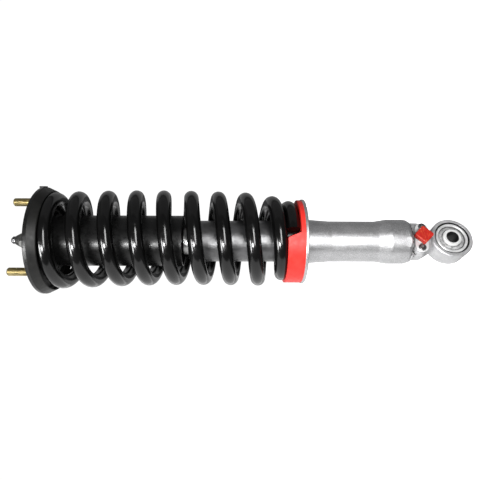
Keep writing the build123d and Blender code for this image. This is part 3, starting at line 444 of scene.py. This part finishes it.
def wire_modifier(obj, radius, sides, material):
    """Geometry nodes that sweep a round section along the object's edges."""
    tree = bpy.data.node_groups.new(obj.name + "_wire", "GeometryNodeTree")
    tree.interface.new_socket("Geometry", in_out="INPUT", socket_type="NodeSocketGeometry")
    tree.interface.new_socket("Geometry", in_out="OUTPUT", socket_type="NodeSocketGeometry")
    add, link = tree.nodes.new, tree.links.new
    start, end = add("NodeGroupInput"), add("NodeGroupOutput")
    to_curve = add("GeometryNodeMeshToCurve")
    section = add("GeometryNodeCurvePrimitiveCircle")
    section.inputs["Resolution"].default_value = sides
    section.inputs["Radius"].default_value = radius
    sweep = add("GeometryNodeCurveToMesh")
    sweep.inputs["Fill Caps"].default_value = True
    smooth = add("GeometryNodeSetShadeSmooth")
    finish = add("GeometryNodeSetMaterial")
    finish.inputs["Material"].default_value = material
    link(start.outputs[0], to_curve.inputs["Mesh"])
    link(to_curve.outputs[0], sweep.inputs["Curve"])
    link(section.outputs[0], sweep.inputs["Profile Curve"])
    link(sweep.outputs[0], smooth.inputs["Geometry"])
    link(smooth.outputs[0], finish.inputs["Geometry"])
    link(finish.outputs[0], end.inputs[0])
    obj.modifiers.new("wire", "NODES").node_group = tree


def mesh_object(name, points, material, edges=(), faces=()):
    """A new mesh object in the scene."""
    mesh = bpy.data.meshes.new(name)
    mesh.from_pydata(points, list(edges), list(faces))
    mesh.update()
    obj = bpy.data.objects.new(name, mesh)
    bpy.context.scene.collection.objects.link(obj)
    mesh.materials.append(material)
    return obj


count = int(SPRING_TURNS * POINTS_PER_TURN)
line = [spring_point(SPRING_TURNS * i / count) for i in range(count + 1)]
segments = [(i, i + 1) for i in range(count)]
spring = mesh_object("spring_wire", line, MATERIALS["gloss_black"], edges=segments)
wire_modifier(spring, WIRE_R, WIRE_SIDES, MATERIALS["gloss_black"])
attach(spring, "damper_body")
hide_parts("coil_spring")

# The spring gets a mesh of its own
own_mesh(spring)


# ---------------------------------------------------------------------------
# Threaded studs
# ---------------------------------------------------------------------------
THREAD_PITCH = 0.00125
THREAD_DEPTH = 0.0006
THREAD_SIDES = 40
RINGS_PER_PITCH = 8
TIP_SLOPE = 0.9


def threaded_shaft(name, centre, low, high, radius, tip, material):
    """A shaft with a real helical thread and a chamfered tip."""
    sides = THREAD_SIDES
    rings = int((high - low) / THREAD_PITCH * RINGS_PER_PITCH)
    points, faces = [], []
    for i in range(rings + 1):
        z = low + (high - low) * i / rings
        limit = radius - max(z - (high - tip), 0) * TIP_SLOPE
        for j in range(sides):
            turn = j / sides
            phase = (z / THREAD_PITCH - turn) % 1.0
            crest = min(1.0, 2.4 * min(phase, 1 - phase))
            r = min(radius - THREAD_DEPTH * (1 - crest), limit)
            a = 2 * math.pi * turn
            points.append((centre[0] + r * math.cos(a), centre[1] + r * math.sin(a), z))
    for i in range(rings):
        for j in range(sides):
            k = (j + 1) % sides
            faces.append((i * sides + j, i * sides + k, (i + 1) * sides + k, (i + 1) * sides + j))
    faces.append(tuple(range(sides))[::-1])
    faces.append(tuple(rings * sides + j for j in range(sides)))
    return mesh_object(name, points, material, faces=faces)


STUD_R = 0.005
STUD_CIRCLE_R = 0.0489
STUD_ANGLES = (75.0, 195.0, 315.0)
STUD_TIP = 0.0012
stud_low, stud_high = (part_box("mount_studs")[i][2] for i in (0, 1))
for number, angle in enumerate(STUD_ANGLES, 1):
    a = math.radians(angle)
    centre = (STUD_CIRCLE_R * math.cos(a), STUD_CIRCLE_R * math.sin(a))
    stud = threaded_shaft("mount_stud_%d" % number, centre, stud_low, stud_high, STUD_R, STUD_TIP,
                          MATERIALS["yellow_zinc"])
    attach(stud, "upper_mount")
    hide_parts("mount_studs")

# ---------------------------------------------------------------------------
# Piston rod: plain shaft, then the thread that carries the top nut
# ---------------------------------------------------------------------------
ROD_SIDES = 48
ROD_R = 0.007
ROD_THREAD_R = 0.005
ROD_BEVEL = 0.0006
ROD_SHOULDER_Z = 0.4945
ROD_TIP = 0.0022
PISTON_SEAT_Z = 0.257
CLIP_LOW_Z, CLIP_TOP_Z = 0.2846, 0.286
CLIP_GROOVE_R = 0.0064


def turned(name, outline, material):
    """A closed solid spun about the strut's axis from (radius, height) pairs."""
    sides = ROD_SIDES
    points, faces = [], []
    for radius, z in outline:
        for j in range(sides):
            a = 2 * math.pi * j / sides
            points.append((radius * math.cos(a), radius * math.sin(a), z))
    for i in range(len(outline) - 1):
        for j in range(sides):
            k = (j + 1) % sides
            faces.append((i * sides + j, i * sides + k, (i + 1) * sides + k, (i + 1) * sides + j))
    faces.append(tuple(range(sides))[::-1])
    faces.append(tuple((len(outline) - 1) * sides + j for j in range(sides)))
    return mesh_object(name, points, material, faces=faces)


rod_low, rod_high = (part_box("piston_rod")[i][2] for i in (0, 1))
shaft = turned("rod_shaft", [
    (ROD_THREAD_R - ROD_BEVEL, rod_low), (ROD_THREAD_R, rod_low + ROD_BEVEL), (ROD_THREAD_R, PISTON_SEAT_Z),
    (ROD_R, PISTON_SEAT_Z), (ROD_R, CLIP_LOW_Z), (CLIP_GROOVE_R, CLIP_LOW_Z), (CLIP_GROOVE_R, CLIP_TOP_Z),
    (ROD_R, CLIP_TOP_Z), (ROD_R, ROD_SHOULDER_Z),
], LOOKS["piston_rod"])
thread = threaded_shaft("rod_thread", (0, 0), ROD_SHOULDER_Z, rod_high, ROD_THREAD_R, ROD_TIP,
                        LOOKS["piston_rod"])
for piece in (shaft, thread):
    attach(piece, "rod_assembly")
    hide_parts("piston_rod")

# ---------------------------------------------------------------------------
# Stage: pale floor, white surroundings for the camera, softboxes
# ---------------------------------------------------------------------------
FLOOR_HALF = 6.0
STRUT_MIDDLE_Z = 0.25
floor_z = cad_bounds[0][2]


def pale_floor():
    """A near-white sheet that reads as the same white as the surroundings."""
    g = Graph("pale_floor").set(Emission_Color=(1, 1, 1, 1), Emission_Strength=1.0, Roughness=0.9)
    g.feed("Base Color", g.mix(g.levels(g.noise(8.0), 0.0, 1.0), (0.80, 0.80, 0.80), (0.86, 0.86, 0.86)))
    return g.material


corners = [(x * FLOOR_HALF, y * FLOOR_HALF) for x, y in ((-1, -1), (1, -1), (1, 1), (-1, 1))]
floor = mesh_object("floor", [(x, y, floor_z) for x, y in corners], pale_floor(), faces=[(0, 1, 2, 3)])
for ray in ("visible_shadow", "visible_diffuse", "visible_glossy", "visible_transmission"):
    setattr(floor, ray, False)


def studio(right, up, back):
    """A place given from the strut's middle, along the view's own directions."""
    return Vector((0, 0, STRUT_MIDDLE_Z)) + right * VIEW_RIGHT + up * VIEW_UP + back * VIEW_BACK


def softbox(name, place, aim, size, power):
    """A rectangular lamp (width, height) that faces a point and stays out of the camera's sight."""
    data = bpy.data.lights.new(name, "AREA")
    data.shape = "RECTANGLE"
    data.size, data.size_y = size
    data.energy = power
    lamp = bpy.data.objects.new(name, data)
    bpy.context.scene.collection.objects.link(lamp)
    back = (place - aim).normalized()
    across = VIEW_UP.cross(back).normalized()
    upward = back.cross(across)
    lamp.matrix_world = Matrix.Translation(place) @ Matrix((across, upward, back)).transposed().to_4x4()
    lamp.visible_camera = False
    return lamp


softbox("key_front", studio(0.20, 0.12, 1.15), studio(0.05, 0.06, 0), (0.34, 0.80), 12.5)
softbox("key_left", studio(-0.95, -0.40, 0.75), studio(-0.1, 0, 0), (0.30, 0.46), 12.0)
softbox("key_low", studio(-0.44, -0.34, 1.12), studio(-0.1, 0, 0), (0.46, 0.13), 15.0)
softbox("table_bounce", studio(0, -0.9, -0.2), studio(0, 0, 0), (2.4, 2.0), 15.0)
softbox("ceiling", studio(0, 1.1, 0.1), studio(0, 0, 0), (2.2, 1.2), 0.9)
softbox("rim_high", studio(0, 0.70, -0.95), studio(0, 0, 0), (2.4, 0.9), 1.8)
softbox("rim_low", studio(0, -0.45, -1.2), studio(0, 0, 0), (2.4, 0.8), 3.5)

AMBIENT = (0.10, 0.10, 0.102, 1)
BACKDROP = (1.05, 1.05, 1.05, 1)


def surroundings():
    """A world that lights the strut dimly and shows the camera a white backdrop."""
    world = bpy.data.worlds.new("surroundings")
    world.use_nodes = True
    nodes, links = world.node_tree.nodes, world.node_tree.links
    nodes.clear()
    rays = nodes.new("ShaderNodeLightPath")
    pick = nodes.new("ShaderNodeMixShader")
    links.new(rays.outputs["Is Camera Ray"], pick.inputs[0])
    for socket, colour in zip(pick.inputs[1:], (AMBIENT, BACKDROP)):
        background = nodes.new("ShaderNodeBackground")
        background.inputs["Color"].default_value = colour
        links.new(background.outputs[0], socket)
    links.new(pick.outputs[0], nodes.new("ShaderNodeOutputWorld").inputs[0])
    return world


scene = bpy.context.scene
scene.world = surroundings()
scene.view_settings.view_transform = "Standard"
scene.view_settings.look = "None"

# ---------------------------------------------------------------------------
# Camera
# ---------------------------------------------------------------------------
lens = bpy.data.cameras.new("photo_camera")
lens.sensor_width = SENSOR
lens.lens = SENSOR * FOCAL_SHARE
lens.shift_x, lens.shift_y = SHIFT
lens.clip_start = 0.01
camera = bpy.data.objects.new("photo_camera", lens)
scene.collection.objects.link(camera)
axes = Matrix((VIEW_RIGHT, VIEW_UP, VIEW_BACK)).transposed().to_4x4()
spot = Vector((0, 0, CAMERA_HEIGHT)) + CAMERA_DISTANCE * VIEW_BACK
camera.matrix_world = Matrix.Translation(spot) @ axes @ Matrix.Rotation(ROLL, 4, "Z")
scene.camera = camera

bpy.context.view_layer.update()
